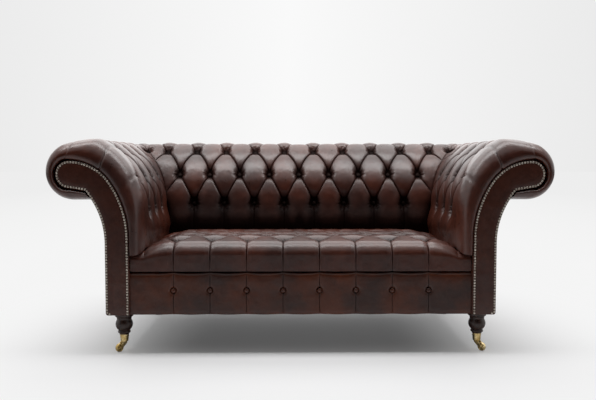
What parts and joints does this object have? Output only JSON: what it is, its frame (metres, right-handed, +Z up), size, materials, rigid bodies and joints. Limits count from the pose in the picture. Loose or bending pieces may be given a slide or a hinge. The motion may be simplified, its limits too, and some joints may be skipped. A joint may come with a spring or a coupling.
{
  "type": "chesterfield sofa",
  "caption": "Low sofa with scrolled arms and back at one height, deep buttoned leather, nailed arm fronts, turned front legs on brass castors and square rear legs.",
  "frame": {"origin": "on the floor under the middle of the sofa's box", "axes": "+X across the sofa to the right-hand arm as seen from the front, +Y from the front to the back, +Z up"},
  "size_m": [1.9, 0.952, 0.806],
  "materials": {
    "leather": "antique dark brown, waxed",
    "nail_brass": "antiqued",
    "castor_brass": "polished",
    "leg_wood": "dark stained and lacquered",
    "frame_timber": "sawn",
    "steel": "plain",
    "jute": "woven",
    "dust_cloth": "felted"
  },
  "bodies": {
    "sofa": {"left_arm_pad": "leather", "right_arm_pad": "leather", "back_pad": "leather", "seat_pad": "leather", "front_border": "leather", "left_arm_facing": "leather", "right_arm_facing": "leather", "left_facing_nails": "nail_brass", "right_facing_nails": "nail_brass", "left_outside_arm": "leather", "right_outside_arm": "leather", "outside_back": "leather", "dust_cover": "dust_cloth", "left_arm_buttons": "leather", "right_arm_buttons": "leather", "back_buttons": "leather", "seat_buttons": "leather", "border_buttons": "leather", "left_arm_front_post": "frame_timber", "right_arm_front_post": "frame_timber", "left_arm_rear_post": "frame_timber", "right_arm_rear_post": "frame_timber", "left_arm_roll_rail": "frame_timber", "right_arm_roll_rail": "frame_timber", "left_arm_tack_rail": "frame_timber", "right_arm_tack_rail": "frame_timber", "left_arm_webbing": "jute", "right_arm_webbing": "jute", "back_uprights": "frame_timber", "back_roll_rail": "frame_timber", "back_tack_rail": "frame_timber", "back_webbing": "jute", "front_rail": "frame_timber", "rear_seat_rail": "frame_timber", "back_base_rail": "frame_timber", "left_side_rail": "frame_timber", "right_side_rail": "frame_timber", "seat_stretchers": "frame_timber", "corner_blocks": "frame_timber", "seat_springs": "steel", "spring_clips": "steel", "seat_lining": "jute", "front_left_leg": "leg_wood", "front_right_leg": "leg_wood", "rear_left_leg": "leg_wood", "rear_right_leg": "leg_wood", "leg_bolts": "steel", "left_castor_cup": "castor_brass", "right_castor_cup": "castor_brass", "castor_screws": "castor_brass"},
    "left_castor": {"left_castor_fork": "castor_brass", "left_castor_axle": "castor_brass"},
    "left_wheel": {"left_castor_wheel": "castor_brass"},
    "right_castor": {"right_castor_fork": "castor_brass", "right_castor_axle": "castor_brass"},
    "right_wheel": {"right_castor_wheel": "castor_brass"}
  },
  "joints": [
    {"name": "left_swivel", "type": "hinge", "parent": "sofa", "child": "left_castor", "pos_m": [-0.678, -0.406, 0.038], "axis": [0, 0, 1], "continuous": true},
    {"name": "left_wheel_spin", "type": "hinge", "parent": "left_castor", "child": "left_wheel", "pos_m": [-0.69278, -0.42491, 0.016], "axis": [0.788, -0.6157, 0], "continuous": true},
    {"name": "right_swivel", "type": "hinge", "parent": "sofa", "child": "right_castor", "pos_m": [0.678, -0.406, 0.038], "axis": [0, 0, 1], "continuous": true},
    {"name": "right_wheel_spin", "type": "hinge", "parent": "right_castor", "child": "right_wheel", "pos_m": [0.69278, -0.42491, 0.016], "axis": [0.788, 0.6157, 0], "continuous": true}
  ]
}
